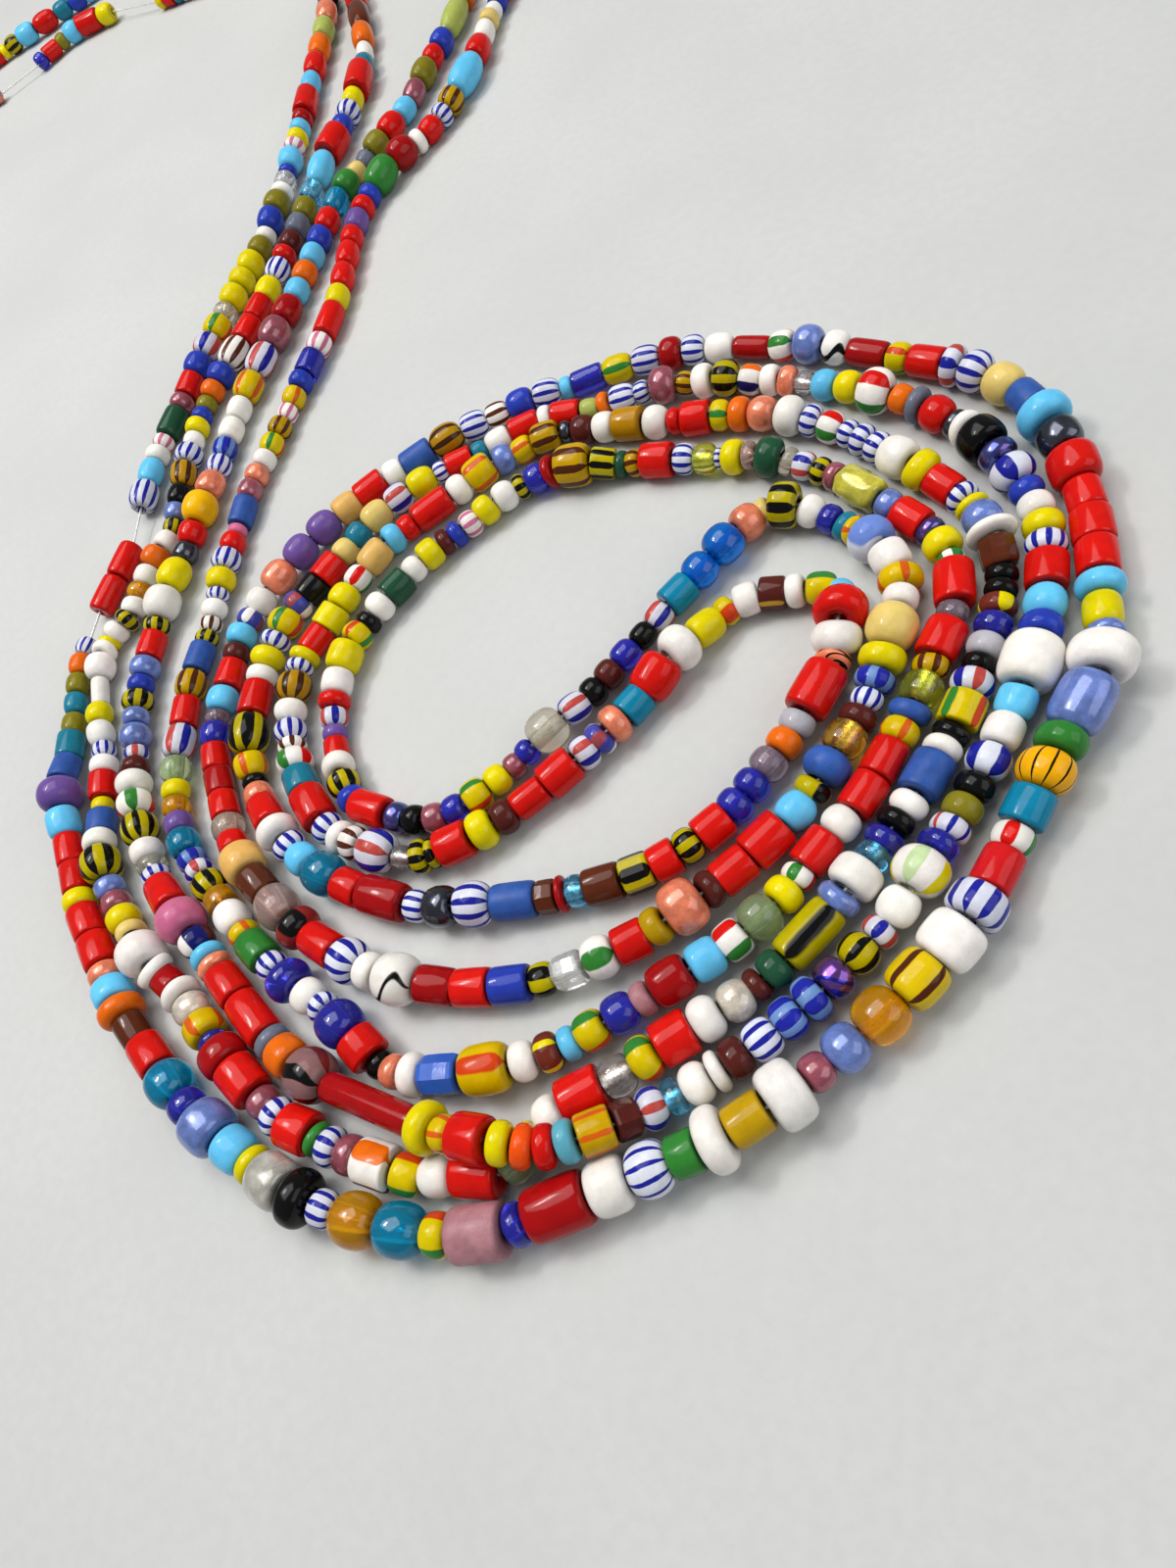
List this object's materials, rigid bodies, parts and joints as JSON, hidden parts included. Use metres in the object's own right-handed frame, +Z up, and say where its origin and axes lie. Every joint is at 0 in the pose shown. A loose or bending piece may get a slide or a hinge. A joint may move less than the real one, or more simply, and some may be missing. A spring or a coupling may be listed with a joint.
{
  "type": "waist beads",
  "caption": "Long closed strand of mixed glass beads on clear thread, folded into four passes and coiled flat at one end.",
  "frame": {"origin": "middle of the underside of the strand as it lies", "axes": "+Z up from the surface; +Y from the coiled end towards the far turn of the strand; +X to the right seen from above with +Y ahead"},
  "size_m": [0.1604, 0.3688, 0.0086],
  "materials": {
    "bead_01_purple_ball": "gloss",
    "bead_02_orange_disc": "gloss",
    "bead_03_teal_ball": "gloss",
    "bead_04_periwinkle_barrel": "gloss",
    "bead_05_clear_barrel": "gloss",
    "bead_06_black_disc": "gloss",
    "bead_07_white_disc": "gloss",
    "bead_08_white_barrel": "gloss",
    "bead_09_white_barrel": "gloss",
    "bead_10_white_blue_barrel": "gloss",
    "bead_11_amber_black_ball": "gloss",
    "bead_12_white_disc": "gloss",
    "bead_13_pale_blue_disc": "gloss",
    "bead_14_white_marked_ball": "gloss",
    "bead_15_coral_disc": "gloss",
    "bead_16_ivory_ball": "gloss",
    "bead_17_white_blue_ball": "gloss",
    "bead_18_yellow_black_barrel": "gloss",
    "bead_19_yellow_brown_barrel": "gloss",
    "bead_20_white_ball": "gloss",
    "bead_21_pink_ball": "gloss",
    "bead_22_mauve_striped_ball": "gloss",
    "bead_23_white_yellow_ball": "gloss",
    "bead_24_white_barrel": "gloss",
    "bead_25_white_ball": "gloss",
    "bead_26_red_disc": "gloss",
    "bead_27_white_ball": "gloss",
    "bead_28_crimson_barrel": "gloss",
    "bead_29_white_ball": "gloss",
    "bead_30_yellow_black_ball": "gloss",
    "strand_arc_1": "gloss, mixed bead colours along the thread",
    "strand_arc_2": "gloss, mixed bead colours along the thread",
    "strand_corner_far": "gloss, mixed bead colours along the thread",
    "strand_far_2": "gloss, mixed bead colours along the thread",
    "strand_far_3": "gloss, mixed bead colours along the thread",
    "strand_far_4": "gloss, mixed bead colours along the thread",
    "strand_far_left_1": "gloss, mixed bead colours along the thread",
    "strand_far_left_2": "gloss, mixed bead colours along the thread",
    "strand_far_left_3": "gloss, mixed bead colours along the thread",
    "strand_far_left_4": "gloss, mixed bead colours along the thread",
    "strand_hook_1": "gloss, mixed bead colours along the thread",
    "strand_hook_3": "gloss, mixed bead colours along the thread",
    "strand_inner_left_1": "gloss, mixed bead colours along the thread",
    "strand_inner_left_3": "gloss, mixed bead colours along the thread",
    "strand_inner_near_1": "gloss, mixed bead colours along the thread",
    "strand_inner_near_3": "gloss, mixed bead colours along the thread",
    "strand_left_1": "gloss, mixed bead colours along the thread",
    "strand_left_2": "gloss, mixed bead colours along the thread",
    "strand_left_3": "gloss, mixed bead colours along the thread",
    "strand_left_4": "gloss, mixed bead colours along the thread",
    "strand_near_1": "gloss, mixed bead colours along the thread",
    "strand_near_2": "gloss, mixed bead colours along the thread",
    "strand_near_3": "gloss, mixed bead colours along the thread",
    "strand_near_4": "gloss, mixed bead colours along the thread",
    "strand_right_1": "gloss, mixed bead colours along the thread",
    "strand_right_2": "gloss, mixed bead colours along the thread",
    "strand_right_3": "gloss, mixed bead colours along the thread",
    "strand_right_4": "gloss, mixed bead colours along the thread"
  },
  "bodies": {
    "root": {"bead_01_purple_ball": "bead_01_purple_ball", "bead_02_orange_disc": "bead_02_orange_disc", "bead_03_teal_ball": "bead_03_teal_ball", "bead_04_periwinkle_barrel": "bead_04_periwinkle_barrel", "bead_05_clear_barrel": "bead_05_clear_barrel", "bead_06_black_disc": "bead_06_black_disc", "bead_07_white_disc": "bead_07_white_disc", "bead_08_white_barrel": "bead_08_white_barrel", "bead_09_white_barrel": "bead_09_white_barrel", "bead_10_white_blue_barrel": "bead_10_white_blue_barrel", "bead_11_amber_black_ball": "bead_11_amber_black_ball", "bead_12_white_disc": "bead_12_white_disc", "bead_13_pale_blue_disc": "bead_13_pale_blue_disc", "bead_14_white_marked_ball": "bead_14_white_marked_ball", "bead_15_coral_disc": "bead_15_coral_disc", "bead_16_ivory_ball": "bead_16_ivory_ball", "bead_17_white_blue_ball": "bead_17_white_blue_ball", "bead_18_yellow_black_barrel": "bead_18_yellow_black_barrel", "bead_19_yellow_brown_barrel": "bead_19_yellow_brown_barrel", "bead_20_white_ball": "bead_20_white_ball", "bead_21_pink_ball": "bead_21_pink_ball", "bead_22_mauve_striped_ball": "bead_22_mauve_striped_ball", "bead_23_white_yellow_ball": "bead_23_white_yellow_ball", "bead_24_white_barrel": "bead_24_white_barrel", "bead_25_white_ball": "bead_25_white_ball", "bead_26_red_disc": "bead_26_red_disc", "bead_27_white_ball": "bead_27_white_ball", "bead_28_crimson_barrel": "bead_28_crimson_barrel", "bead_29_white_ball": "bead_29_white_ball", "bead_30_yellow_black_ball": "bead_30_yellow_black_ball", "strand_arc_1": "strand_arc_1", "strand_arc_2": "strand_arc_2", "strand_corner_far": "strand_corner_far", "strand_far_2": "strand_far_2", "strand_far_3": "strand_far_3", "strand_far_4": "strand_far_4", "strand_far_left_1": "strand_far_left_1", "strand_far_left_2": "strand_far_left_2", "strand_far_left_3": "strand_far_left_3", "strand_far_left_4": "strand_far_left_4", "strand_hook_1": "strand_hook_1", "strand_hook_3": "strand_hook_3", "strand_inner_left_1": "strand_inner_left_1", "strand_inner_left_3": "strand_inner_left_3", "strand_inner_near_1": "strand_inner_near_1", "strand_inner_near_3": "strand_inner_near_3", "strand_left_1": "strand_left_1", "strand_left_2": "strand_left_2", "strand_left_3": "strand_left_3", "strand_left_4": "strand_left_4", "strand_near_1": "strand_near_1", "strand_near_2": "strand_near_2", "strand_near_3": "strand_near_3", "strand_near_4": "strand_near_4", "strand_right_1": "strand_right_1", "strand_right_2": "strand_right_2", "strand_right_3": "strand_right_3", "strand_right_4": "strand_right_4"}
  },
  "joints": []
}
